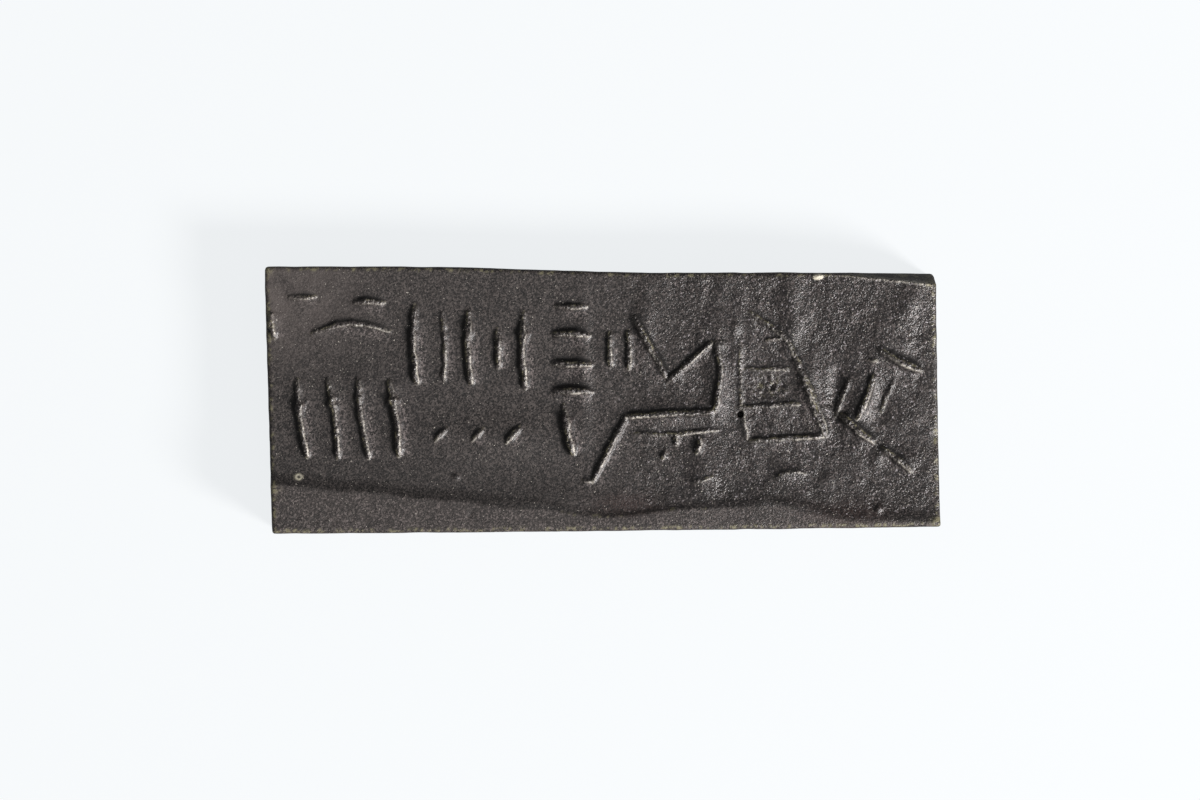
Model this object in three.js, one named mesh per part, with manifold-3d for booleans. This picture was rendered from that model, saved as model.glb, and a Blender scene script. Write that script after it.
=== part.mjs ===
// A rolled impression of a cylinder seal: a flat, knife-cut strip of dark modelling clay.
// The seal's cuts stand up as sharp ridges on a pressed field, and the clay that the seal
// never reached is left as a higher rim of uneven width along the lower edge.
// Millimetres, +Z up. The strip lies on its back, with its length along X.
import * as THREE from "three";
import { mergeVertices } from "three/addons/utils/BufferGeometryUtils.js";
import Module from "manifold-3d";

// The strip
const LENGTH = 47.0;
const WIDTH = 18.6;
const FIELD_THICKNESS = 4.0;

// How far each cut edge leaves the straight rectangle, and the power of its curve
const TOP_EDGE_FALL = 0.42;
const BOTTOM_EDGE_RISE = 0.48;
const BOTTOM_EDGE_POWER = 1.4;
const LEFT_EDGE_LEAN = 0.55;
const LEFT_EDGE_POWER = 1.2;
const RIGHT_EDGE_LEAN = 0.31;
const RIGHT_EDGE_POWER = 0.8;

// The rim: its height over the field, the width of its slope, and its width at even stations
const RIM_RISE = 0.32;
const RIM_SLOPE = 0.5;
const RIM_WIDTHS = [3.25, 2.75, 2.1, 1.45, 0.78, 1.35, 1.45, 0.35, 0.12];

// The slanting cut that takes the upper right edge off
const TRIM_LENGTH = 8.2;
const TRIM_WIDTH = 0.85;
const TRIM_DEPTH = 1.9;

// The swell of the field, where the clay gave way unevenly under the seal
const SWELL_HEIGHT = 0.05;
const SWELL_LENGTH = 20;

// The ridges: full size and its shares for lighter strokes, the power that hollows the
// flanks, how fast an end swells to full size, and how far a stroke bows from straight
const RIDGE_WIDTH = 0.95;
const RIDGE_HEIGHT = 0.45;
const FINE = 0.6;
const FAINT = 0.4;
const RIDGE_HOLLOW = 1.6;
const RIDGE_TIP = 0.06;
const RIDGE_TAPER = 0.25;
const STROKE_BOW = 0.06;

// The mesh: its pitch on the field and along a stroke or an edge, what a ridge is sunk by,
// what the sheet and the knife reach past the strip, and the flatness that merges faces
const FIELD_PITCH = 1.3;
const EDGE_PITCH = 3;
const RIDGE_STEPS = 6;
const RIDGE_ROOT = 0.2;
const CUTTING_MARGIN = 1.5;
const FLATNESS = 0.004;

const wasm = await Module();
wasm.setup();

const mix = THREE.MathUtils.lerp;
const clamp = THREE.MathUtils.clamp;
const smooth = THREE.MathUtils.smoothstep;
const share = (value, power) => clamp(value, 0, 1) ** power;

// Places on the strip are shares of its length, from the left, and of its width, from below.
// The top edge falls over the second fifth of the length and the third.
const topEdge = (u) => WIDTH / 2 - TOP_EDGE_FALL * smooth(u, 0.2, 0.6);
const bottomEdge = (u) => -WIDTH / 2 + BOTTOM_EDGE_RISE * share(u, BOTTOM_EDGE_POWER);
const leftEdge = (v) => -LENGTH / 2 + LEFT_EDGE_LEAN * share(1 - v, LEFT_EDGE_POWER);
const rightEdge = (v) => LENGTH / 2 - RIGHT_EDGE_LEAN * share(v, RIGHT_EDGE_POWER);

function place([u, v]) {
  return new THREE.Vector2(
    mix(leftEdge(v), rightEdge(v), u),
    mix(bottomEdge(u), topEdge(u), v),
  );
}

// The rim's width runs smoothly through the widths at the even stations
function rimWidth(u) {
  const along = clamp(u, 0, 1) * (RIM_WIDTHS.length - 1);
  const station = Math.min(Math.floor(along), RIM_WIDTHS.length - 2);
  return mix(RIM_WIDTHS[station], RIM_WIDTHS[station + 1], smooth(along - station, 0, 1));
}

// The height of the clay's face: a field with a gentle swell, and the rim with its slope
function faceHeight([u, v]) {
  const at = place([u, v]).multiplyScalar((2 * Math.PI) / SWELL_LENGTH);
  const swell = Math.sin(at.x + at.y) * Math.sin(2 * at.x - at.y);
  const fromEdge = v * (topEdge(u) - bottomEdge(u));
  const onRim = 1 - clamp((fromEdge - rimWidth(u)) / RIM_SLOPE, 0, 1);
  return FIELD_THICKNESS + RIM_RISE * onRim + SWELL_HEIGHT * swell * (1 - onRim);
}

function solidOf(geometry) {
  geometry.deleteAttribute("normal");
  geometry.deleteAttribute("uv");
  const merged = mergeVertices(geometry, 1e-4);
  return new wasm.Manifold(
    new wasm.Mesh({
      numProp: 3,
      vertProperties: merged.attributes.position.array,
      triVerts: new Uint32Array(merged.index.array),
    }),
  );
}

// A box of columns and rows whose upper and lower corners are placed by a function
function shapedBox(columns, rows, corner) {
  const geometry = new THREE.BoxGeometry(1, 1, 1, columns, rows, 1);
  const position = geometry.attributes.position;
  for (let i = 0; i < position.count; i += 1) {
    const column = Math.round((position.getX(i) + 0.5) * columns);
    const row = Math.round((position.getY(i) + 0.5) * rows);
    const { x, y, z } = corner(column, row, position.getZ(i) > 0);
    position.setXYZ(i, x, y, z);
  }
  return solidOf(geometry);
}

// The rolled sheet, a little larger than the strip. Its lowest rows bound the rim's slope.
function sheet() {
  const marginU = CUTTING_MARGIN / LENGTH;
  const marginV = CUTTING_MARGIN / WIDTH;
  const columns = Math.round(LENGTH / FIELD_PITCH) + 2;
  const fieldRows = Math.round(WIDTH / FIELD_PITCH);
  return shapedBox(columns, fieldRows + 2, (column, row, isFace) => {
    const u = mix(-marginU, 1 + marginU, column / columns);
    const width = topEdge(u) - bottomEdge(u);
    const crest = rimWidth(u) / width;
    const foot = (rimWidth(u) + RIM_SLOPE) / width;
    const v = row < 2 ? [-marginV, crest][row] : mix(foot, 1 + marginV, (row - 2) / fieldRows);
    const at = place([u, v]);
    return new THREE.Vector3(at.x, at.y, isFace ? faceHeight([u, v]) : 0);
  });
}

// The knife's outline, cut straight down through the sheet
function knife() {
  const along = (length) => {
    const steps = Math.round(length / EDGE_PITCH);
    return Array.from({ length: steps }, (_, i) => i / steps);
  };
  const outline = [
    ...along(LENGTH).map((t) => place([t, 0])),
    ...along(WIDTH).map((t) => place([1, t])),
    ...along(LENGTH).map((t) => place([1 - t, 1])),
    ...along(WIDTH).map((t) => place([0, 1 - t])),
  ];
  const cut = new THREE.ExtrudeGeometry(new THREE.Shape(outline), {
    depth: FIELD_THICKNESS + 2 * CUTTING_MARGIN,
    bevelEnabled: false,
  });
  cut.translate(0, 0, -CUTTING_MARGIN);
  return solidOf(cut);
}

// The slanting cut: a plane from the top edge to the right corner, through the strip's face
function trimmed(solid) {
  const start = place([1 - TRIM_LENGTH / LENGTH, 1]);
  const corner = place([1, 1]);
  const plane = new THREE.Plane().setFromCoplanarPoints(
    new THREE.Vector3(start.x, start.y, FIELD_THICKNESS),
    new THREE.Vector3(corner.x, corner.y, FIELD_THICKNESS - TRIM_DEPTH),
    new THREE.Vector3(corner.x, corner.y - TRIM_WIDTH, FIELD_THICKNESS),
  );
  if (plane.distanceToPoint(new THREE.Vector3()) < 0) plane.negate();
  return solid.trimByPlane(plane.normal.toArray(), -plane.constant);
}

// One raised stroke on a curve through the places given. Its crest is sharp and its flanks
// are hollow, and both ends taper down into the field.
function ridge({ through, size = 1 }) {
  const curve = new THREE.SplineCurve(through.map((shares) => place(shares)));
  const inShares = new THREE.SplineCurve(through.map(([u, v]) => new THREE.Vector2(u, v)));
  return shapedBox(RIDGE_STEPS, 4, (column, row, isFace) => {
    const t = column / RIDGE_STEPS;
    const at = curve.getPoint(t);
    const along = curve.getTangent(t);
    const swelling = RIDGE_TIP + Math.min(t, 1 - t) / RIDGE_TAPER;
    const taper = size * Math.sqrt(Math.min(swelling, 1));
    const across = (row - 2) / 2;
    const reach = (across * RIDGE_WIDTH * taper) / 2;
    const lift = RIDGE_HEIGHT * taper * (1 - Math.abs(across)) ** RIDGE_HOLLOW;
    const ground = faceHeight(inShares.getPoint(t).toArray());
    return new THREE.Vector3(
      at.x - along.y * reach,
      at.y + along.x * reach,
      ground + (isFace ? lift : -RIDGE_ROOT),
    );
  });
}

// A row of like strokes, evenly spaced between two centres. reach is half of the longest
// one, lengths are shares of it, and the strokes bow to either side in turn.
function row({ from, to = from, reach, lengths, size = 1 }) {
  return lengths.map((length, i) => {
    const t = i / Math.max(lengths.length - 1, 1);
    const u = mix(from[0], to[0], t);
    const v = mix(from[1], to[1], t);
    const du = reach[0] * length;
    const dv = reach[1] * length;
    const bow = i % 2 ? STROKE_BOW : -STROKE_BOW;
    return {
      through: [
        [u - du, v + dv],
        [u + (bow * dv * WIDTH) / LENGTH, v + (bow * du * LENGTH) / WIDTH],
        [u + du, v - dv],
      ],
      size,
    };
  });
}

// Plain rows of strokes around the figure, which spell nothing
const plainRows = [
  row({ from: [0.056, 0.885], to: [0.154, 0.862], reach: [0.024, 0], lengths: [0.9, 1] }),
  row({ from: [0.126, 0.768], reach: [0.056, 0.006], lengths: [1] }),
  row({ from: [0.008, 0.795], reach: [0.001, 0.056], lengths: [1] }),
  row({ from: [0.051, 0.43], to: [0.188, 0.43], reach: [0.006, 0.15], lengths: [0.97, 1, 1, 0.95] }),
  row({ from: [0.223, 0.705], to: [0.385, 0.69], reach: [0, 0.147], lengths: [1, 0.9, 0.95, 0.5, 1] }),
  row({ from: [0.455, 0.862], to: [0.455, 0.534], reach: [0.029, 0], lengths: [0.8, 0.95, 1, 1] }),
  row({ from: [0.448, 0.39], reach: [0.006, 0.096], lengths: [1] }),
  row({ from: [0.258, 0.37], to: [0.366, 0.37], reach: [-0.01, 0.028], lengths: [0.8, 0.7, 1], size: FINE }),
  row({ from: [0.513, 0.7], to: [0.54, 0.7], reach: [0, 0.075], lengths: [0.9, 1], size: FINE }),
  row({ from: [0.858, 0.505], to: [0.918, 0.51], reach: [-0.014, 0.09], lengths: [0.85, 1, 0.8] }),
  row({ from: [0.876, 0.345], to: [0.965, 0.205], reach: [0.015, 0.038], lengths: [1, 0.9, 1] }),
  row({ from: [0.945, 0.66], reach: [0.027, 0.038], lengths: [1] }),
].flat();

// The seated figure: a raised arm, a bent body with the shin drawn back, a low seat, and the
// banded mass behind the back
const figure = [
  { through: [[0.547, 0.83], [0.596, 0.592]], size: FINE },
  { through: [[0.597, 0.575], [0.664, 0.728]] },
  { through: [[0.671, 0.735], [0.676, 0.62], [0.671, 0.51], [0.665, 0.455]] },
  { through: [[0.666, 0.457], [0.534, 0.44]] },
  { through: [[0.536, 0.445], [0.481, 0.187]] },
  { through: [[0.54, 0.377], [0.67, 0.388]], size: FINE },
  { through: [[0.618, 0.35], [0.61, 0.33], [0.592, 0.3]], size: FINE },
  { through: [[0.637, 0.365], [0.641, 0.34], [0.634, 0.3]], size: FINE },
  { through: [[0.721, 0.845], [0.772, 0.748], [0.79, 0.66]], size: FINE },
  { through: [[0.787, 0.672], [0.831, 0.358]] },
  { through: [[0.742, 0.73], [0.773, 0.748]], size: FAINT },
  { through: [[0.711, 0.62], [0.778, 0.623]], size: FAINT },
  { through: [[0.699, 0.475], [0.793, 0.486]], size: FINE },
  { through: [[0.716, 0.343], [0.829, 0.36]], size: FINE },
  { through: [[0.707, 0.735], [0.706, 0.5], [0.714, 0.345]], size: FAINT },
];

function impressionStrip() {
  const ridges = [...plainRows, ...figure].map(ridge);
  const rolled = wasm.Manifold.union([sheet(), ...ridges]);
  return trimmed(rolled.intersect(knife())).simplify(FLATNESS);
}

function meshOf(solid, name, material) {
  const { vertProperties, triVerts } = solid.getMesh();
  const geometry = new THREE.BufferGeometry()
    .setAttribute("position", new THREE.BufferAttribute(vertProperties, 3))
    .setIndex(new THREE.BufferAttribute(triVerts, 1));
  geometry.computeVertexNormals();
  const mesh = new THREE.Mesh(geometry, material);
  mesh.name = name;
  return mesh;
}

const clay = new THREE.MeshStandardMaterial({ color: "#3b3836", roughness: 0.55, metalness: 0 });

const impression = new THREE.Group();
impression.add(meshOf(impressionStrip(), "impression_strip", clay));

export default impression;
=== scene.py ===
import math

import bmesh
import bpy
import numpy as np
from mathutils import Matrix, Vector, noise


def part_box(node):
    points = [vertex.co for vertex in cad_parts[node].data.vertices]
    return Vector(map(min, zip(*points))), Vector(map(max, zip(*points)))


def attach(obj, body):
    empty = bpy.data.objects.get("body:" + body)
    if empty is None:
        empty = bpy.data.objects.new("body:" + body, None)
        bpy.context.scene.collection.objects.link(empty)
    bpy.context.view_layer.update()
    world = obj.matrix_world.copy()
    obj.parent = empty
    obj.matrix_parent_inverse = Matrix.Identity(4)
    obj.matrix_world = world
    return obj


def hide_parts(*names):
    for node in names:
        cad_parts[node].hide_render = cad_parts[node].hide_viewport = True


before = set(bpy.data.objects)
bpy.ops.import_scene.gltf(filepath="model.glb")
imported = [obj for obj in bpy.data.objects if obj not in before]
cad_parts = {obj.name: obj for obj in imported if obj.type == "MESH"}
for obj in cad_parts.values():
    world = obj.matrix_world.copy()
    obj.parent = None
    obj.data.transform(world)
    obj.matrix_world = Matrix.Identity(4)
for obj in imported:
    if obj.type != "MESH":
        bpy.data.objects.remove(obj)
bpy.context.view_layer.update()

# The strip. A cylinder seal was rolled once over a sheet of dark modelling clay, and the
# print was trimmed with a knife on all four sides. The clay is about 4 mm thick, with a
# flat back from the board, and its corners are a little rounded by handling.
MM = 0.001
low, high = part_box("impression_strip")
LENGTH = (high[0] - low[0]) / MM
WIDTH = (high[1] - low[1]) / MM
TOP_LIMIT = high[2] / MM
FIELD = 4.0

# How far each cut edge leaves the straight rectangle, and the power of its curve, or for the
# top edge the stretch over which it falls
TOP_FALL = 0.42
TOP_FALL_STRETCH = (0.2, 0.6)
BOTTOM_RISE = 0.48
BOTTOM_POWER = 1.4
LEFT_LEAN = 0.55
LEFT_POWER = 1.2
RIGHT_LEAN = 0.31
RIGHT_POWER = 0.8


def smooth(value, start, end):
    """Rises smoothly from 0 at start to 1 at end."""
    t = np.clip((value - start) / (end - start), 0, 1)
    return t * t * (3 - 2 * t)


def place(u, v):
    """Millimetres on the strip, from shares of its length and of its width."""
    inside_u, inside_v = np.clip(u, 0, 1), np.clip(v, 0, 1)
    left = -LENGTH / 2 + LEFT_LEAN * (1 - inside_v) ** LEFT_POWER
    right = LENGTH / 2 - RIGHT_LEAN * inside_v ** RIGHT_POWER
    bottom = -WIDTH / 2 + BOTTOM_RISE * inside_u ** BOTTOM_POWER
    top = WIDTH / 2 - TOP_FALL * smooth(inside_u, *TOP_FALL_STRETCH)
    return left + (right - left) * u, bottom + (top - bottom) * v


# The strokes that the seal's cuts printed. Each is a path in mm with a size, the width of its
# flanks against a plain stroke's, and the lengths in mm over which its two ends fade.
BOW = 0.06
FINE = 0.62
FAINT = 0.4
CURVE_STEPS = 7
JOINED = (0.35, 0.35)
WORN_TOP = (1.5, 0.45)
strokes = []


def draw_stroke(points, size=1.0, flank=1.0, fade=JOINED):
    """Adds one stroke, on a smooth curve through places given as shares."""
    knots = np.array([place(*point) for point in points])
    knots = np.vstack([2 * knots[0] - knots[1], knots, 2 * knots[-1] - knots[-2]])
    path = []
    for a, b, c, d in zip(knots, knots[1:], knots[2:], knots[3:]):
        for t in np.arange(CURVE_STEPS) / CURVE_STEPS:
            bend = a * (-t + 2 * t**2 - t**3) + b * (2 - 5 * t**2 + 3 * t**3)
            path.append((bend + c * (t + 4 * t**2 - 3 * t**3) + d * (t**3 - t**2)) / 2)
    strokes.append((np.array(path + [knots[-2]]), size, flank, fade))


def draw_row(start, end, reach, kinds, flank=1.0, fade=WORN_TOP):
    """Adds a row of strokes between two centres, evenly spaced. They bow in turn, and kinds
    gives each one's length, as a share of the reach, and its size."""
    for i, (length, size) in enumerate(kinds):
        t = i / max(len(kinds) - 1, 1)
        at_u = start[0] + (end[0] - start[0]) * t
        at_v = start[1] + (end[1] - start[1]) * t
        du, dv = reach[0] * length, reach[1] * length
        bow = BOW if i % 2 else -BOW
        middle = (at_u + bow * dv * WIDTH / LENGTH, at_v + bow * du * LENGTH / WIDTH)
        draw_stroke([(at_u - du, at_v + dv), middle, (at_u + du, at_v - dv)], size, flank, fade)


# Plain rows of strokes around the figure, which spell nothing
LENS = (1.1, 0.9)
SHORT = (0.5, 0.4)
draw_row((0.056, 0.885), (0.154, 0.862), (0.024, 0), [(0.9, 0.6), (1, 0.95)], fade=LENS)
draw_stroke([(0.068, 0.745), (0.1, 0.772), (0.135, 0.785), (0.186, 0.757)], 0.75, 1.5, (1.3, 2.6))
draw_row((0.011, 0.778), (0.011, 0.778), (0.002, 0.05), [(1, 0.9)], fade=SHORT)
draw_row((0.051, 0.43), (0.188, 0.43), (0.006, 0.15), [(0.97, 1), (1, 0.8), (1, 0.85), (0.95, 1.1)])
draw_row(
    (0.223, 0.705), (0.385, 0.69), (0, 0.147), [(1, 1.05), (0.9, 0.5), (0.95, 1), (0.5, 0.85), (1, 0.95)]
)
draw_row(
    (0.455, 0.862), (0.455, 0.534), (0.029, 0), [(0.8, 0.9), (0.95, 1.3), (1, 1.2), (1, 1.4)], 0.9, LENS
)
draw_row((0.448, 0.39), (0.448, 0.39), (0.006, 0.096), [(1, 1.35)])
draw_row((0.258, 0.37), (0.366, 0.37), (-0.011, 0.032), [(0.8, 0.6), (0.75, 0.6), (1, 0.85)], fade=SHORT)
draw_row((0.513, 0.7), (0.54, 0.7), (0, 0.075), [(0.9, 0.75), (1, 0.75)], fade=SHORT)
draw_row((0.858, 0.51), (0.925, 0.515), (-0.014, 0.09), [(0.8, 0.6), (1, 1), (0.7, 0.4)], fade=SHORT)
draw_row((0.879, 0.39), (0.936, 0.265), (0.023, 0.05), [(1.1, 1.5), (1, 1.1)], fade=(0.4, 1.3))
draw_row((0.944, 0.655), (0.944, 0.655), (0.03, 0.042), [(1, 1.4)], fade=(1.4, 0.4))
draw_row((0.902, 0.655), (0.902, 0.655), (0.008, 0.004), [(1, 0.5)], fade=SHORT)

# The seated figure: a raised arm, a bent body with the shin drawn back, a low seat, and the
# banded mass behind the back
draw_stroke([(0.547, 0.83), (0.596, 0.592)], 0.95, 0.8, (0.9, 0.4))
draw_stroke([(0.597, 0.575), (0.664, 0.728)], 0.8, 0.85)
draw_stroke([(0.671, 0.735), (0.676, 0.62), (0.671, 0.51), (0.665, 0.455)], 0.85, 1.25)
draw_stroke([(0.666, 0.457), (0.6, 0.452), (0.534, 0.44)], 0.95, 0.9)
draw_stroke([(0.536, 0.445), (0.505, 0.305), (0.481, 0.187)], 0.85, 0.9, (0.35, 0.8))
draw_stroke([(0.466, 0.198), (0.48, 0.19)], FAINT, 1.0, (0.3, 0.3))
draw_stroke([(0.54, 0.377), (0.6, 0.372), (0.67, 0.388)], 0.5, 1.0, (0.9, 0.9))
draw_stroke([(0.616, 0.377), (0.607, 0.362), (0.609, 0.33)], 0.85)
draw_stroke([(0.636, 0.37), (0.643, 0.345), (0.637, 0.295)], 0.85)
draw_stroke([(0.592, 0.312), (0.587, 0.275)], FINE)
draw_stroke([(0.63, 0.186), (0.645, 0.192), (0.66, 0.205)], FAINT)
draw_stroke([(0.721, 0.845), (0.772, 0.748), (0.79, 0.66)], FINE, 0.8, (1.6, 0.4))
draw_stroke([(0.787, 0.672), (0.81, 0.51), (0.831, 0.358)], 0.9, 1.3)
draw_stroke([(0.793, 0.655), (0.8155, 0.51), (0.833, 0.375)], FAINT, 0.8, (1.2, 0.6))
draw_stroke([(0.755, 0.2), (0.775, 0.222), (0.8, 0.218)], FAINT, 1.6, (0.5, 0.5))
draw_stroke([(0.742, 0.73), (0.773, 0.748)], FAINT)
draw_stroke([(0.711, 0.62), (0.778, 0.623)], FAINT)
draw_stroke([(0.699, 0.475), (0.793, 0.486)], 0.55, 0.8)
draw_stroke([(0.716, 0.343), (0.77, 0.352), (0.829, 0.36)], 0.65, 0.9)
draw_stroke([(0.707, 0.735), (0.706, 0.5), (0.714, 0.345)], FAINT, 1.2, (1.0, 0.5))

# Across a ridge, its lower side is the one that looks down and a little to the right.
LOWER_SIDE = (0.35, -0.94)


def follow(path, x, y):
    """How far each place is from a path, which side of it is the lower one, how far along the
    path it is, and how long the path is, lengths in mm."""
    reach = np.full_like(x, np.inf)
    side = np.ones_like(x)
    run = np.zeros_like(x)
    passed = 0.0
    for start, end in zip(path, path[1:]):
        step = end - start
        length = np.hypot(*step)
        t = np.clip(((x - start[0]) * step[0] + (y - start[1]) * step[1]) / length**2, 0, 1)
        away_x, away_y = x - start[0] - t * step[0], y - start[1] - t * step[1]
        away = np.hypot(away_x, away_y)
        nearer = away < reach
        reach = np.where(nearer, away, reach)
        side = np.where(nearer, np.sign(away_x * LOWER_SIDE[0] + away_y * LOWER_SIDE[1]), side)
        run = np.where(nearer, passed + t * length, run)
        passed += length
    return reach, side, run, passed


# The sheet of clay. A flat grid in shares of length and width is cut finer near the strokes
# and blemishes. Its border is drawn down as level below level of wall, and the back closes it.
SPACING = 0.136
CLOSE = 0.6
EDGE_RADIUS = 0.25
EDGE_STEPS = 3
WALL_STEPS = 4
BACK_ROUNDING = 0.14
BACK_STEPS = 2
HOLE = place(0.7046, 0.448)
SPECK = place(0.043, 0.213)
CRUMB_PLACE = place(0.8235, 0.981)
TRIM_LENGTH = 8.2
TRIM_WIDTH = 0.85
TRIM_DEPTH = 1.9
grid = bmesh.new()
bmesh.ops.create_grid(
    grid,
    x_segments=round(LENGTH / SPACING),
    y_segments=round(WIDTH / SPACING),
    size=0.5,
    matrix=Matrix.Translation((0.5, 0.5, 0)),
)
corners = np.array([vertex.co for vertex in grid.verts])
x, y = place(corners[:, 0], corners[:, 1])
nearest = np.min([follow(path, x, y)[0] for path, size, flank, fade in strokes], axis=0)
for spot in (HOLE, SPECK, CRUMB_PLACE):
    nearest = np.minimum(nearest, np.hypot(x - spot[0], y - spot[1]))
cut_crest = WIDTH / 2 - TOP_FALL - TRIM_WIDTH * (1 - (LENGTH / 2 - x) / TRIM_LENGTH)
from_cut = np.where(cut_crest < WIDTH / 2 - TOP_FALL, 2 * np.abs(y - cut_crest), CLOSE)
nearest = np.minimum(nearest, from_cut)
close = nearest < CLOSE
grid.verts.index_update()
fine_edges = [edge for edge in grid.edges if all(close[vertex.index] for vertex in edge.verts)]
bmesh.ops.subdivide_edges(grid, edges=fine_edges, cuts=1, use_grid_fill=True)
border = [edge for edge in grid.edges if edge.is_boundary]
LEVELS = EDGE_STEPS + WALL_STEPS + BACK_STEPS
for level in range(LEVELS):
    drawn = bmesh.ops.extrude_edge_only(grid, edges=border)["geom"]
    border = [part for part in drawn if isinstance(part, bmesh.types.BMEdge) and part.is_boundary]
    fresh = [part for part in drawn if isinstance(part, bmesh.types.BMVert)]
    bmesh.ops.translate(grid, verts=fresh, vec=(0, 0, -1))
back = bmesh.ops.contextual_create(grid, geom=border)["faces"]
bmesh.ops.recalc_face_normals(grid, faces=grid.faces)
for face in grid.faces:
    face.smooth = face not in back
strip = bpy.data.meshes.new("clay_strip")
grid.to_mesh(strip)
grid.free()

shares = np.zeros(len(strip.vertices) * 3)
strip.vertices.foreach_get("co", shares)
u, v, level = shares.reshape(-1, 3).T
level = np.round(-level).astype(int)

# How far each level stands in from the outline: the rounded upper edge first, then the cut
# wall, then the rounded edge of the back
turn = np.linspace(0, math.pi / 2, EDGE_STEPS + 1)
back_turn = np.linspace(0, math.pi / 2, BACK_STEPS + 1)[1:]
set_in = np.concatenate(
    [EDGE_RADIUS * (1 - np.sin(turn)), np.zeros(WALL_STEPS), BACK_ROUNDING * (1 - np.cos(back_turn))]
)
x, y = place(
    0.5 + (u - 0.5) * (1 - 2 * set_in[level] / LENGTH),
    0.5 + (v - 0.5) * (1 - 2 * set_in[level] / WIDTH),
)


NOISE_DIMENSION = 0.8
NOISE_LACUNARITY = 2.1


def rough(x, y, size, octaves=3, seed=0):
    """Smooth noise over the plane, about -1 to 1, with lumps of about that size in mm."""
    return np.array(
        [
            noise.fractal(Vector((a, b, seed)), NOISE_DIMENSION, NOISE_LACUNARITY, octaves)
            for a, b in zip(x / size, y / size)
        ]
    )


# The knife's line wavers inwards a little, and the corners are rounded, the lower ones less.
WAVER = 0.025
WAVER_REACH = 0.6
SIDE_WAVE = 1.7
END_WAVE = 2.3
CORNER_RADIUS = 0.3
LOWER_CORNER_RADIUS = 0.22
TINY = 1e-6
near_side = np.minimum(u, 1 - u) * LENGTH
near_end = np.minimum(v, 1 - v) * WIDTH
side_waver = np.clip(1 + rough(y, y * 0, SIDE_WAVE, seed=3), 0, 2)
end_waver = np.clip(1 + rough(x, x * 0, END_WAVE, seed=4), 0, 2)
x -= WAVER * np.sign(u - 0.5) * side_waver * np.exp(-near_side / WAVER_REACH)
y -= WAVER * np.sign(v - 0.5) * end_waver * np.exp(-near_end / WAVER_REACH)
for side, end in ((-1, 1), (1, 1), (-1, -1), (1, -1)):
    radius = CORNER_RADIUS if end > 0 else LOWER_CORNER_RADIUS
    corner_x, corner_y = place(0.5 + side / 2, 0.5 + end / 2)
    across = 1 - side * (corner_x - x) / radius
    along = 1 - end * (corner_y - y) / radius
    near = (across > 0) & (along > 0)
    pull = np.maximum(across, along) / np.maximum(np.hypot(across, along), TINY)
    x = np.where(near, corner_x - side * radius * (1 - across * pull), x)
    y = np.where(near, corner_y - end * radius * (1 - along * pull), y)

# The field. The seal pressed it smooth, and it is left with soft swells. Towards the right,
# where the clay clung to the stone, its skin is lumpier. Each swell is a place in shares, its
# length, its height on the face, and its rise in mm before the gain.
SWELLS = [
    (0.34, 0.36, 5.0, 1.6, 0.13),
    (0.42, 0.12, 4.0, 1.0, 0.05),
    (0.15, 0.57, 2.6, 1.1, 0.04),
    (0.472, 0.62, 0.55, 4.4, 0.07),
    (0.565, 0.78, 0.6, 2.8, 0.09),
    (0.605, 0.45, 2.6, 0.9, 0.14),
    (0.645, 0.22, 1.1, 1.8, 0.09),
    (0.672, 0.54, 0.7, 1.8, 0.1),
    (0.676, 0.76, 1.2, 1.8, 0.08),
    (0.7, 0.68, 0.4, 2.0, 0.06),
    (0.7, 0.785, 0.25, 0.4, 0.06),
    (0.74, 0.1, 1.2, 0.6, 0.05),
    (0.775, 0.21, 0.8, 0.5, 0.08),
    (0.785, 0.87, 0.8, 2.6, 0.12),
    (0.805, 0.54, 0.65, 2.2, 0.11),
    (0.835, 0.19, 0.6, 0.5, 0.05),
    (0.849, 0.51, 0.65, 2.4, -0.17),
    (0.886, 0.5, 0.85, 1.3, 0.12),
    (0.915, 0.49, 0.8, 1.1, -0.12),
    (0.905, 0.27, 0.5, 0.6, 0.08),
    (0.92, 0.72, 1.5, 2.6, 0.15),
    (0.907, 0.075, 0.2, 0.24, 0.15),
    (0.955, 0.865, 0.7, 1.2, 0.1),
    (0.958, 0.265, 0.6, 0.6, 0.09),
    (0.278, 0.21, 0.22, 0.16, 0.08),
]
TROUGH = 0.2
SWELL_GAIN = 2.0
CLUNG_STRETCH = (0.4, 0.72)

# Finer waves all over: the rise in mm, how far they are squeezed across, the length in mm, the
# share of them on the smooth left, and a seed
WAVES = [
    (0.07, 0.6, 3.0, 0.3, 11),
    (0.04, 0.8, 0.9, 0.25, 12),
    (0.008, 0.7, 0.32, 0.5, 13),
]


def spot(across, along, centre, long, tall):
    """1 at the centre, dying away over a length and a height."""
    return np.exp(-(((across - centre[0]) / long) ** 2) - ((along - centre[1]) / tall) ** 2)


lumpy = smooth(u, *CLUNG_STRETCH)
swell = TROUGH * (2 * v - 1) ** 2 - TROUGH / 2
for rise, squeeze, length, least, seed in WAVES:
    swell += rise * rough(x, y * squeeze, length, 2, seed=seed) * (least + lumpy)
for at_u, at_v, long, tall, rise in SWELLS:
    swell += SWELL_GAIN * rise * spot(x, y, place(at_u, at_v), long, tall)

# Inside the banded mass the clay tore as it came off the stone, and left a rough hollow.
TORN_LENGTH = 1.0
TORN_HEIGHT = 0.55
TORN_LUMPS = 0.3
TORN_DEPTH = 0.14
torn = spot(x, y, place(0.749, 0.555), TORN_LENGTH, TORN_HEIGHT)
swell += torn * (TORN_LUMPS * rough(x, y, 0.42, 3, seed=14) - TORN_DEPTH)

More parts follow.
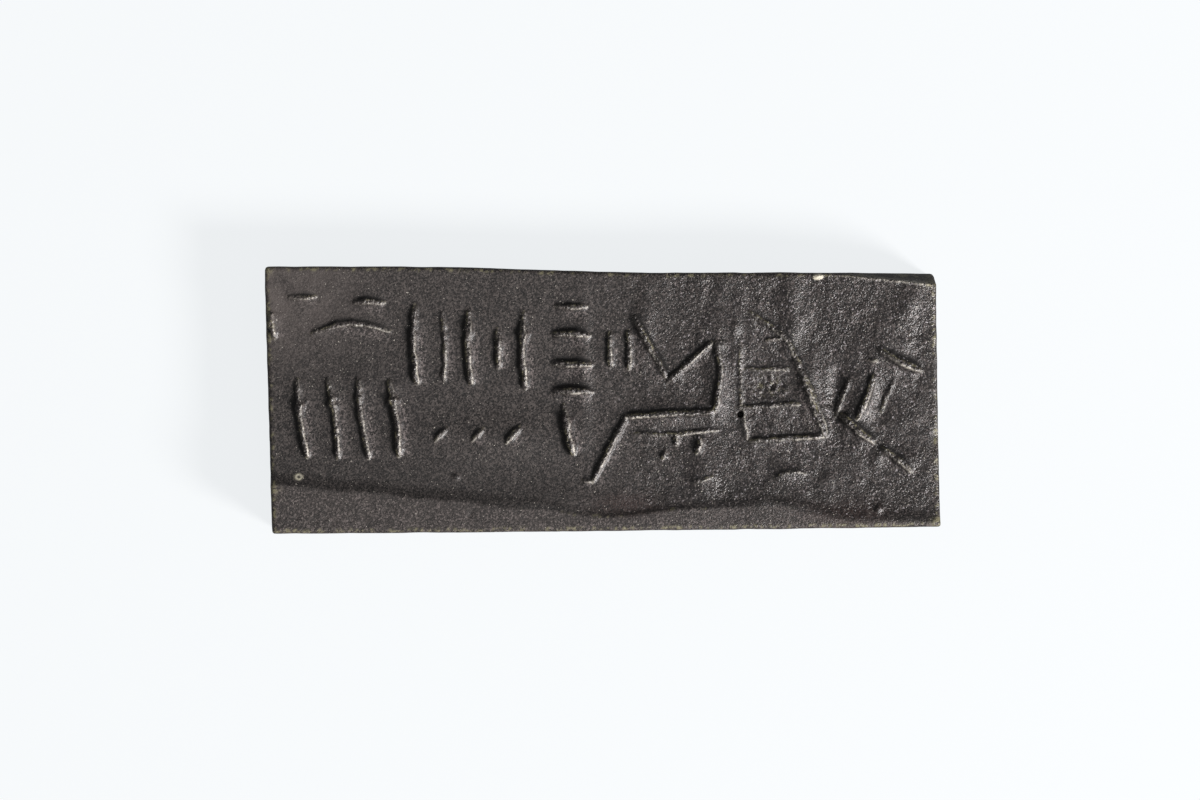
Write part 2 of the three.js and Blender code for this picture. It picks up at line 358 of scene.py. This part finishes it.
# The ridges. Each cut in the seal drew the clay up into a narrow ridge with a granular crest
# and steep sides, on a hollow skirt that dies away over about a millimetre. Widths are in mm.
CREST = 0.12
CREST_EDGE = 0.1
FLANK = 0.27
RISE = 0.19
HOLLOW = 1.6
SKIRT = 0.5
SKIRT_RISE = 0.15
THIN_END = 0.25
LEAST_WIDTH = 0.45
UNEVEN = 0.4
WANDER = 0.07
GRIT = 0.11

# Tall strokes swell to a head near the top, each by an amount of its own.
HEAD = 1.1
HEAD_PLACE = 0.28
HEAD_LENGTH = 0.42
HEAD_MEAN = 0.5
HEAD_SPREAD = 1.3
HEAD_MOST = 1.2

# The crest's lower side gets a pale line of painted highlight, and its upper side is stained.
# Below it pale specks are painted as glints. At its feet lies painted shadow, the upper one darker and
# wider.
HIGHLIGHT_WIDTH = 0.05
HIGHLIGHT_TOP = 0.2
SPARKLE_PLACE = 0.45
SPARKLE_WIDTH = 0.32
SHADOW_PLACE = 0.29
SHADOW_WIDTH = 0.14
UPPER_SHADOW = (0.3, 1.2)
UPPER_SHADOW_WIDTH = (0.5, 0.7)
LOWER_SHADOW = 0.4
LOWER_SHADOW_WIDTH = 0.8

wander_x = x + WANDER * rough(x, y, 0.7, 2, seed=21)
wander_y = y + WANDER * rough(x, y, 0.7, 2, seed=22)
wobble = rough(x, y, 0.9, 2, seed=23)
grit = rough(x, y, 0.15, 2, seed=24)
ridges, skirts, crests, highlight_and_burr_wear, stained, painted_flank_glints, painted_foot_shadow = (np.zeros_like(x) for _ in range(7))
for path, size, flank, fade in strokes:
    reach, side, run, whole = follow(path, wander_x, wander_y)
    ends = np.clip(run / fade[0], 0, 1) * np.clip((whole - run) / fade[1], 0, 1)
    taper = size * (THIN_END + (1 - THIN_END) * np.sqrt(ends)) * (1 + UNEVEN * wobble)
    if fade is WORN_TOP:
        head = np.clip(HEAD_MEAN + HEAD_SPREAD * wobble, 0, HEAD_MOST)
        taper *= 1 + HEAD * head * np.exp(-(((run - HEAD_PLACE * whole) / HEAD_LENGTH) ** 2))
    broad = LEAST_WIDTH + (1 - LEAST_WIDTH) * taper
    fall = np.clip((reach - CREST * broad) / (FLANK * flank * broad), 0, 1)
    np.maximum(ridges, RISE * taper * (1 - fall) ** HOLLOW, out=ridges)
    skirt = SKIRT_RISE * size * np.sqrt(ends) * np.exp(-reach / (SKIRT * flank))
    np.maximum(skirts, skirt, out=skirts)
    crest_edge = (CREST + CREST_EDGE) * broad
    crest = np.sqrt(taper) * (1 - smooth(reach, CREST * broad, crest_edge))
    np.maximum(crests, crest, out=crests)
    on_line = np.sqrt(taper) * (reach < crest_edge)
    # A pale line of painted highlight along the crest's lower, lit side, brighter towards its lower end
    low_side = on_line * np.exp(-(((reach * side - CREST * broad) / HIGHLIGHT_WIDTH) ** 2))
    low_side *= HIGHLIGHT_TOP + (1 - HIGHLIGHT_TOP) * smooth(run / whole, 0.2, 0.9)
    np.maximum(highlight_and_burr_wear, low_side, out=highlight_and_burr_wear)
    high_side = on_line * np.exp(-(((reach * side + CREST * broad) / HIGHLIGHT_WIDTH) ** 2))
    np.maximum(stained, high_side, out=stained)
    # Pale specks painted as glints on the lit side below each ridge
    below = (side > 0) * size * np.exp(-(((reach - SPARKLE_PLACE) / SPARKLE_WIDTH) ** 2))
    np.maximum(painted_flank_glints, below * smooth(run / whole, 0.15, 0.5) * (ends > 0), out=painted_flank_glints)
    # Painted shadow along the feet of each ridge, darker and wider on its upper side, away from the lamp
    upper_width = UPPER_SHADOW_WIDTH[0] + UPPER_SHADOW_WIDTH[1] * size
    foot_shadow_width = SHADOW_WIDTH * np.where(side < 0, upper_width, LOWER_SHADOW_WIDTH)
    foot_shadow = np.exp(-(((reach - SHADOW_PLACE * broad) / foot_shadow_width) ** 2)) * np.sqrt(ends)
    foot_shadow *= np.where(side < 0, UPPER_SHADOW[0] + UPPER_SHADOW[1] * size, LOWER_SHADOW * size)
    np.maximum(painted_foot_shadow, foot_shadow, out=painted_foot_shadow)
ridges += GRIT * grit * np.clip(crests, 0, 1)

# The rim. Clay that the seal never reached stands a little higher along the lower edge. It is
# flat and dull, its width wanders, and its step is soft but for a sharper stretch in the middle.
RIM_RISE = 0.32
RIM_FOOT = 3.0
FOOT_SHARE = 0.25
CRISP_STEP = 0.42
SOFT_STEP = 1.0
CRISP_PLACE = 0.57
CRISP_LENGTH = 0.13
RIM_HOLLOW = 1.7
RIM_WANDER = 0.07
RIM_GRAIN = 0.012
RIM_WAVE = 0.014
RIM_PIT = 0.06
RIM_WIDTHS = [3.25, 2.75, 2.1, 1.45, 0.78, 1.35, 1.45, 0.35, 0.12]
station = u * (len(RIM_WIDTHS) - 1)
near_station = np.clip(station.astype(int), 0, len(RIM_WIDTHS) - 2)
between = smooth(station - near_station, 0, 1)
widths = np.array(RIM_WIDTHS)
rim_width = widths[near_station] * (1 - between) + widths[near_station + 1] * between
past_rim = v * WIDTH - rim_width - RIM_WANDER * rough(x, x * 0, 1.3, seed=31)
crisp = np.exp(-(((u - CRISP_PLACE) / CRISP_LENGTH) ** 2))
step_width = SOFT_STEP + (CRISP_STEP - SOFT_STEP) * crisp
rim = FOOT_SHARE * (1 - np.clip(past_rim / RIM_FOOT, 0, 1)) ** 2
rim += (1 - FOOT_SHARE) * (1 - np.clip(past_rim / step_width, 0, 1)) ** RIM_HOLLOW
rim_flat = 1 - smooth(past_rim, -0.1, 0.12)
free_field = smooth(past_rim, -0.1, 0.5)

height = FIELD + swell * free_field + (ridges + skirts) * (1 - rim_flat) + RIM_RISE * rim
rim_noise = RIM_GRAIN * rough(x, y, 0.35, 2, seed=32) + RIM_WAVE * rough(x, y, 2.5, 2, seed=33)
rim_pits = smooth(rough(x, y * 2, 0.5, 2, seed=35), 0.35, 0.6) * smooth(0.16 - u, 0, 0.05)
height += rim_flat * (rim_noise - RIM_PIT * rim_pits * smooth(0.07 - v, 0, 0.03))

# A short scratch in the rim, and a dent in the right edge
SCRATCH_LENGTH = 0.35
SCRATCH_WIDTH = 0.12
SCRATCH_DEPTH = 0.05
DENT_WIDTH = 0.24
DENT_HEIGHT = 0.6
DENT_DEPTH = 0.2
scratch_x, scratch_y = place(0.297, 0.066)
scratch_run = (x - scratch_x) * 0.6 + (y - scratch_y) * 0.8
scratch_side = (x - scratch_x) * 0.8 - (y - scratch_y) * 0.6
scratch = spot(scratch_run, scratch_side, (0, 0), SCRATCH_LENGTH, SCRATCH_WIDTH)
height += SCRATCH_DEPTH * scratch * (rough(x, y, 0.3, 1, seed=34) - 1)
DENT = place(0.994, 0.35)
height -= DENT_DEPTH * spot(x, y, DENT, DENT_WIDTH, DENT_HEIGHT)

# The slanting cut at the upper right, with a thin burr along its crest
CUT_WANDER = 0.03
CUT_LINES = 0.02
BURR = 0.06
BURR_IN = 0.03
BURR_WIDTH = 0.11
start_x, start_y = place(1 - TRIM_LENGTH / LENGTH, 1)
corner_x, corner_y = place(1, 1)
crest_y = corner_y + (start_y - corner_y + TRIM_WIDTH) * (corner_x - x) / TRIM_LENGTH - TRIM_WIDTH
inside_cut = y - crest_y - CUT_WANDER * rough(x, y * 0, 0.8, seed=41)
under_cut = FIELD - inside_cut * TRIM_DEPTH / TRIM_WIDTH
trimmed = (x > start_x) & (under_cut < height)
burr = np.where(x > start_x, np.exp(-(((inside_cut + BURR_IN) / BURR_WIDTH) ** 2)), 0)
under_cut += CUT_LINES * rough(x, y * 3, 0.5, seed=42)
height = np.where(trimmed, under_cut, height) + BURR * burr

# Blemishes: a pinhole where an air bubble opened, a speck in a ring, and a pale crumb stuck
# to the upper edge
HOLE_FLOOR = 0.15
HOLE_LIP = 0.25
HOLE_DEPTH = 0.55
RING_RADIUS = 0.19
RING_WIDTH = 0.08
RING_RISE = 0.03
CRUMB_LENGTH = 0.42
CRUMB_HEIGHT = 0.23
CRUMB_RISE = 0.14
pit = 1 - smooth(np.hypot(x - HOLE[0], y - HOLE[1]), HOLE_FLOOR, HOLE_LIP)
height -= HOLE_DEPTH * pit
speck = np.hypot(x - SPECK[0], (y - SPECK[1]) * 1.2) + 0.03 * grit
ring = np.exp(-(((speck - RING_RADIUS) / RING_WIDTH) ** 2))
height += RING_RISE * ring
crumb_reach = np.hypot((x - CRUMB_PLACE[0]) / CRUMB_LENGTH, (y - CRUMB_PLACE[1]) / CRUMB_HEIGHT)
crumb_reach += 0.12 * rough(x, y, 0.25, 2, seed=43)
crumb = 1 - smooth(crumb_reach, 0.75, 1.0)
height += CRUMB_RISE * crumb * np.sqrt(np.clip(1.1 - crumb_reach, 0, 1))
height = np.minimum(height, TOP_LIMIT)

# The walls hang from the border of the face. The knife left fine lines along them.
KNIFE_LINES = 0.02
edge_drop = EDGE_RADIUS * (1 - np.cos(turn))
drop = np.concatenate([edge_drop, np.full(LEVELS - EDGE_STEPS, EDGE_RADIUS)])
wall_share = np.concatenate(
    [np.zeros(EDGE_STEPS + 1), np.linspace(0, 1, WALL_STEPS + 1)[1:], np.ones(BACK_STEPS)]
)
foot = np.full(LEVELS + 1, BACK_ROUNDING)
foot[-BACK_STEPS:] = BACK_ROUNDING * (1 - np.sin(back_turn))
wall = level > EDGE_STEPS
upper = height - drop[level]
z = upper + (foot[level] - upper) * wall_share[level]
lines = KNIFE_LINES * (rough(x + y, z * 6, 1.2, 3, seed=51) - 1) * wall
x += lines * np.sign(u - 0.5) * (np.minimum(u, 1 - u) < TINY)
y += lines * np.sign(v - 0.5) * (np.minimum(v, 1 - v) < TINY)

strip.vertices.foreach_set("co", (np.column_stack([x, y, z]) * MM).ravel())
strip.update()

# What the finish needs to know of each place. Grease and dust are caught as flecks on the
# edges, in the notch at the left, on the corners, along the crisp step, on the speck's ring
# and in the torn hollow.
EDGE_LINE = 0.08
on_top = level <= EDGE_STEPS
on_face = level < EDGE_STEPS
on_edge = level < 2
edge_crest = np.exp(-(((np.minimum(near_side, near_end) - 0.02) / EDGE_LINE) ** 2)) * on_edge
edge_flecks = edge_crest * smooth(rough(x, y, 0.45, 2, seed=61), 0.0, 0.3)
left_notch = spot(u, v, (0, 0.79), 0.006, 0.05)
left_notch *= smooth(rough(x, y, 0.5, 2, seed=62), 0.05, 0.25) * on_edge
corner_flecks = on_top * sum(
    spot(x, y, place(*at), 0.4, 0.28)
    for at in ((0.003, 0.985), (0.003, 0.165), (0.995, 0.02), (0.992, 0.955))
)
rim_patches = smooth(rough(x, x * 0, 0.9, seed=63), 0.15, 0.4)
rim_flecks = np.exp(-(((past_rim - 0.03) / 0.06) ** 2)) * rim_patches * crisp
torn_flecks = 0.7 * torn * smooth(rough(x, y, 0.4, 2, seed=67), 0.15, 0.4)
worn = np.maximum.reduce([0.8 * edge_flecks, left_notch, corner_flecks, rim_flecks, ring, torn_flecks])

# The painted highlight lines and the stained lines on the ridges come and go. The burr is worn pale
# along most of the cut.
on_burr = burr * (level == 0) * (y < corner_y - 0.05) * (0.35 + 0.65 * smooth(u, 0.88, 0.99))
highlight_patches = 0.35 + 0.65 * smooth(rough(x, y, 0.7, 2, seed=66), -0.5, 0.1)
highlight_and_burr_wear = np.maximum(highlight_and_burr_wear * highlight_patches, on_burr)
stained *= smooth(rough(x, y, 1.3, 2, seed=64), -0.2, 0.2)

# Broad changes of tone: a dark line of painted shade in the dent, painted shade in a patch at
# the left, reddish clay by the rim, painted shade that deepens towards its step, and painted
# light that makes the upper left corner lighter and greyer
dent_line = spot(x + 0.16, y, DENT, 0.08, 0.55)
painted_foot_shadow = np.maximum(painted_foot_shadow, dent_line * on_top) * (1 - np.clip(1.6 * crests, 0, 1))
dark_patch = 0.45 * spot(u, v, (0.12, 0.62), 0.11, 0.09)
ruddy = spot(u, v, (0.53, 0.09), 0.05, 0.04) + spot(u, v, (0.87, 0.05), 0.06, 0.05)
shade = np.where(past_rim > 0, np.exp(-past_rim / 2.2), 0.0)
# Painted light: the upper left corner is made lighter and greyer
light_corner = smooth(v, 0.5, 0.95) * np.exp(-((u / 0.12) ** 2))
lump_patches = smooth(rough(x, y * 0.7, 2.4, 2, seed=65), -0.35, 0.35)
facts = {
    "worn": np.clip(worn, 0, 1),
    "highlight_and_burr_wear": np.clip(highlight_and_burr_wear, 0, 1) * on_face,
    "stained": np.clip(stained, 0, 1) * on_face,
    "coarse": np.clip(0.5 + 0.5 * lumpy + 0.5 * np.clip(crests, 0, 1) + 0.4 * torn, 0, 1),
    "unpressed": rim_flat * (1 - wall),
    "cut": np.where(trimmed | wall, 1.0, 0.0),
    "crumb": np.clip(crumb + 0.55 * ring, 0, 1),
    "clung": lumpy * free_field,
    "lumped": lumpy * free_field * lump_patches,
    "pit": pit,
    "ruddy": ruddy,
    "painted_flank_glints": np.clip(painted_flank_glints * free_field, 0, 1) * on_face,
    "painted_foot_shadow": np.clip(painted_foot_shadow * free_field, 0, 1) * on_face,
    "painted_shade": np.maximum(shade, dark_patch),
    "painted_light_corner": light_corner,
}
plain_back = {"coarse": 0.6, "cut": 0.5}
for name, values in facts.items():
    values = np.where(level == LEVELS, plain_back.get(name, 0.0), values)
    layer = strip.attributes.new(name, "FLOAT", "POINT")
    layer.data.foreach_set("value", values.astype(np.float32))

impression = bpy.data.objects.new("clay_impression", strip)
bpy.context.collection.objects.link(impression)

# Modelling clay: dark, oil-bound and fine-grained. Rolling under the seal left it with a dull
# sheen, so tilted flanks catch the light and its grain sparkles. Rubbed grease and dust sit
# as olive flecks on its edges and here and there on a crest. Its colour also holds painted
# light and shade: painted highlight lines on the crests, painted glints, painted shadow at the
# ridges' feet, in the dent and in the pinhole, painted shade by the rim's step and at the left,
# and an upper left corner painted lighter.
CLAY = "221e1d"
# Dark clay for mottle, specks, grain, the cut faces and where it clung; also painted shade by the rim's
# step and at the left
DARK_CLAY_AND_PAINTED_SHADE = "0e0c0b"
# Near-black for painted shadow at the ridges' feet, in the dent and in the pinhole
PAINTED_SHADE_BLACK = "0d0b0a"
# Grey clay for specks, grain and the rim; also painted light in the upper left corner
GREY_CLAY_AND_PAINTED_LIGHT = "4c4643"
# Pale clay specks; also painted glints and the painted lighter corner
PALE_CLAY_AND_PAINTED_LIGHT = "756c6a"
CLAY_RUDDY = "3a2621"
OLIVE = "77735a"
# Pale dust, also the colour of the painted highlight lines on the crests
DUST_AND_PAINTED_HIGHLIGHT = "c6c1b5"
# The colour of painted glints
PAINTED_GLINT = "b3aeb4"
CRUMB = "cdc8b6"

# The sizes of its patterns. Its real grain, some hundredths of a millimetre, is too fine to
# show, so grain, specks and dust are drawn at about a tenth.
GRAIN_MM = 0.12
SPECK_MM = 0.1
DUST_MM = 0.1
CRUST_MM = 0.2
PORE_MM = 0.2
LUMP_MM = 0.48
MOTTLE_MM = 1.6


def linear(hex_colour):
    """An sRGB hex colour as linear red, green, blue and alpha."""
    parts = [int(hex_colour[i : i + 2], 16) / 255 for i in (0, 2, 4)]
    return tuple(p / 12.92 if p <= 0.04045 else ((p + 0.055) / 1.055) ** 2.4 for p in parts) + (1,)


def add_node(tree, kind, inputs, output=0, **settings):
    """Adds a shader node with its settings, links or sets its inputs, and gives one output."""
    made = tree.nodes.new("ShaderNode" + kind)
    for name, value in settings.items():
        setattr(made, name, value)
    for socket, value in inputs.items():
        if isinstance(value, bpy.types.NodeSocket):
            tree.links.new(value, made.inputs[socket])
        else:
            made.inputs[socket].default_value = value
    return made.outputs[output] if made.outputs else made


clay = bpy.data.materials.new("rolled_modelling_clay")
clay.use_nodes = True
tree = clay.node_tree
tree.nodes.clear()
place_mm = add_node(tree, "TexCoord", {}, "Object")
fact = {name: add_node(tree, "Attribute", {}, "Fac", attribute_name=name) for name in facts}
pattern = {}
for name, size_mm, detail, roughness in (
    ("grain", GRAIN_MM, 2.0, 0.6),
    ("pores", PORE_MM, 3.0, 0.6),
    ("lumps", LUMP_MM, 2.0, 0.5),
    ("mottle", MOTTLE_MM, 4.0, 0.6),
    ("crust", CRUST_MM, 2.0, 0.5),
    ("dust", DUST_MM, 0.0, 0.5),
):
    sizes = {"Scale": 1 / (size_mm * MM), "Detail": detail, "Roughness": roughness}
    pattern[name] = add_node(tree, "TexNoise", {"Vector": place_mm, **sizes})
sizes = {"Scale": 1 / (SPECK_MM * MM)}
pattern["speck"] = add_node(tree, "TexVoronoi", {"Vector": place_mm, **sizes}, "Color")

# Each layer of colour lies over those before it, by a share that grows as its pattern goes
# from the first value to the second, up to the third, and only where its fact holds.
colour = linear(CLAY)
for over, source, start, end, most, where in (
    (DARK_CLAY_AND_PAINTED_SHADE, "mottle", 0.56, 0.36, 0.5, None),
    (GREY_CLAY_AND_PAINTED_LIGHT, "speck", 0.5, 0.85, 1.0, None),
    (DARK_CLAY_AND_PAINTED_SHADE, "speck", 0.5, 0.15, 1.0, None),
    # pale specks where it clung, partly real grains and partly painted glints
    (PALE_CLAY_AND_PAINTED_LIGHT, "speck", 0.7, 0.9, 1.0, "clung"),
    (PALE_CLAY_AND_PAINTED_LIGHT, "speck", 0.65, 0.9, 0.6, "unpressed"),
    # painted glints on the lit side below the ridges
    (PALE_CLAY_AND_PAINTED_LIGHT, "speck", 0.45, 0.85, 0.9, "painted_flank_glints"),
    (GREY_CLAY_AND_PAINTED_LIGHT, "grain", 0.5, 0.7, 0.7, None),
    (DARK_CLAY_AND_PAINTED_SHADE, "grain", 0.5, 0.3, 0.7, None),
    (CLAY_RUDDY, "grain", 0.35, 0.6, 0.8, "ruddy"),
    (GREY_CLAY_AND_PAINTED_LIGHT, "mottle", 0.0, 0.6, 0.15, "unpressed"),
    # painted light in the upper left corner
    (GREY_CLAY_AND_PAINTED_LIGHT, "mottle", 0.2, 0.6, 0.9, "painted_light_corner"),
    (PALE_CLAY_AND_PAINTED_LIGHT, "mottle", 0.2, 0.7, 0.12, "painted_light_corner"),
    # painted shade by the rim's step and in a patch at the left
    (DARK_CLAY_AND_PAINTED_SHADE, "mottle", 0.0, 0.5, 0.45, "painted_shade"),
    (DARK_CLAY_AND_PAINTED_SHADE, "mottle", 0.0, 0.4, 0.6, "cut"),
    (CLAY_RUDDY, "grain", 0.4, 0.6, 0.4, "cut"),
    (DARK_CLAY_AND_PAINTED_SHADE, "mottle", 0.0, 0.5, 0.28, "clung"),
    # painted shadow at the ridges' feet and in the dent
    (PAINTED_SHADE_BLACK, "grain", 0.1, 0.35, 1.0, "painted_foot_shadow"),
    (DUST_AND_PAINTED_HIGHLIGHT, "dust", 0.82, 0.85, 0.7, None),
    (DUST_AND_PAINTED_HIGHLIGHT, "dust", 0.74, 0.84, 0.2, "coarse"),
    # painted glints where it clung
    (PAINTED_GLINT, "speck", 0.88, 0.95, 0.45, "clung"),
    (OLIVE, "crust", 0.46, 0.54, 0.8, "stained"),
    # painted highlight along the crests' lower sides, and real pale wear on the burr
    (DUST_AND_PAINTED_HIGHLIGHT, "crust", 0.38, 0.52, 0.85, "highlight_and_burr_wear"),
    (OLIVE, "crust", 0.4, 0.52, 1.0, "worn"),
    (CRUMB, "pores", 0.0, 0.4, 1.0, "crumb"),
    # the pinhole's floor painted black as shade
    (PAINTED_SHADE_BLACK, "pores", 0.0, 0.1, 1.0, "pit"),
):
    reach = {"Value": pattern[source], "From Min": start, "From Max": end, "To Max": most}
    share = add_node(tree, "MapRange", reach)
    if where:
        share = add_node(tree, "Math", {0: share, 1: fact[where]}, operation="MULTIPLY")
    colour = add_node(tree, "Mix", {0: share, 6: colour, 7: linear(over)}, 2, data_type="RGBA")

# The rolled skin is smoother than the rim, the cuts and the lines of painted shadow at the ridges' feet,
# most of all where it clung.
SMOOTHEST = 0.34
ROUGHEST = 0.64
spread = {"From Min": 0.1, "From Max": 0.9, "To Min": SMOOTHEST, "To Max": ROUGHEST}
roughness = add_node(tree, "MapRange", {"Value": pattern["speck"], **spread})
for where, value, most in (
    ("clung", 0.36, 0.9),
    ("unpressed", 0.6, 0.5),
    ("cut", 0.7, 1.0),
    ("painted_foot_shadow", 1.0, 1.0),
):
    share = add_node(tree, "Math", {0: fact[where], 1: most}, operation="MULTIPLY")
    roughness = add_node(tree, "Mix", {0: share, 2: roughness, 3: value}, data_type="FLOAT")

# Lumps where it clung, and pores and grain all over, deeper where the skin is coarse, as bumps
normal = None
for name, depth_mm, where in (
    ("lumps", 0.12, "lumped"),
    ("pores", 0.045, "coarse"),
    ("grain", 0.05, "coarse"),
):
    inputs = {"Strength": fact[where], "Distance": depth_mm * MM, "Height": pattern[name]}
    if normal:
        inputs["Normal"] = normal
    normal = add_node(tree, "Bump", inputs)
clay_shader = add_node(
    tree,
    "BsdfPrincipled",
    {
        "Base Color": colour,
        "Roughness": roughness,
        "Normal": normal,
        "IOR": 1.5,
        "Specular IOR Level": 0.4,
        "Coat Weight": 0.35,
        "Coat Roughness": 0.3,
        "Coat IOR": 1.5,
        "Coat Normal": normal,
    },
)
add_node(tree, "OutputMaterial", {"Surface": clay_shader})
strip.materials.append(clay)

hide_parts("impression_strip")
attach(impression, "root")


# The table. A plain pale sheet, bright by itself where the camera sees it, so that the
# strip's shadow on it stays faint, and much dimmer where it lights the strip.
TABLE = "5a5b5b"
TABLE_GLOW = "e8ebed"
SEEN_GLOW = 1.0
LIGHTING_GLOW = 0.2
TABLE_GAP = 0.02
TABLE_HALF = 1.5
floor_grid = bmesh.new()
bmesh.ops.create_grid(floor_grid, x_segments=1, y_segments=1, size=TABLE_HALF)
floor_mesh = bpy.data.meshes.new("table")
floor_grid.to_mesh(floor_mesh)
floor_grid.free()
floor = bpy.data.objects.new("table", floor_mesh)
floor.location.z = -TABLE_GAP * MM
bpy.context.collection.objects.link(floor)
paper = bpy.data.materials.new("pale_table")
paper.use_nodes = True
paper.node_tree.nodes.clear()
seen = add_node(paper.node_tree, "LightPath", {}, "Is Camera Ray")
glow = add_node(
    paper.node_tree, "MapRange", {"Value": seen, "To Min": LIGHTING_GLOW, "To Max": SEEN_GLOW}
)
paper_shader = add_node(
    paper.node_tree,
    "BsdfPrincipled",
    {
        "Base Color": linear(TABLE),
        "Roughness": 0.9,
        "Specular IOR Level": 0.0,
        "Emission Color": linear(TABLE_GLOW),
        "Emission Strength": glow,
    },
)
add_node(paper.node_tree, "OutputMaterial", {"Surface": paper_shader})
floor_mesh.materials.append(paper)

# The camera looks straight down on the strip, as the photograph does.
PHOTO_WIDTH = 1200
MM_PER_PIXEL = LENGTH / 677
STRIP_CENTRE = 602.5
LENS_MM = 100
SENSOR_MM = 36
camera_data = bpy.data.cameras.new("camera")
camera_data.lens = LENS_MM
camera_data.sensor_width = SENSOR_MM
camera_data.clip_start = 0.005
camera = bpy.data.objects.new("camera", camera_data)
camera.location = (
    (PHOTO_WIDTH / 2 - STRIP_CENTRE) * MM_PER_PIXEL * MM,
    0,
    (FIELD + PHOTO_WIDTH * MM_PER_PIXEL * LENS_MM / SENSOR_MM) * MM,
)
bpy.context.collection.objects.link(camera)
scene = bpy.context.scene
scene.camera = camera
scene.view_settings.view_transform = "Standard"


# The light: one soft lamp low at the lower right, which rakes across the relief, and a weak
# broad one from above.
LAMP_COLOUR = (1.0, 0.967, 0.957)
WORLD_COLOUR = (0.98, 0.98, 1.0, 1)
WORLD_STRENGTH = 0.2


def soft_lamp(name, azimuth, elevation, distance, size, power):
    """Adds a round lamp that shines on the strip, from angles in degrees."""
    lamp = bpy.data.lights.new(name, "AREA")
    lamp.shape = "DISK"
    lamp.size = size
    lamp.energy = power
    lamp.color = LAMP_COLOUR
    lamp_object = bpy.data.objects.new(name, lamp)
    across = math.cos(math.radians(elevation))
    towards = Vector(
        (
            across * math.cos(math.radians(azimuth)),
            across * math.sin(math.radians(azimuth)),
            math.sin(math.radians(elevation)),
        )
    )
    lamp_object.location = distance * towards
    lamp_object.rotation_euler = towards.to_track_quat("Z", "Y").to_euler()
    bpy.context.collection.objects.link(lamp_object)


soft_lamp("raking_lamp", azimuth=-32, elevation=29, distance=0.6, size=0.17, power=7.7)
soft_lamp("top_lamp", azimuth=-60, elevation=80, distance=0.8, size=0.8, power=0.8)
world = bpy.data.worlds.new("studio")
world.use_nodes = True
world.node_tree.nodes["Background"].inputs["Color"].default_value = WORLD_COLOUR
world.node_tree.nodes["Background"].inputs["Strength"].default_value = WORLD_STRENGTH
scene.world = world
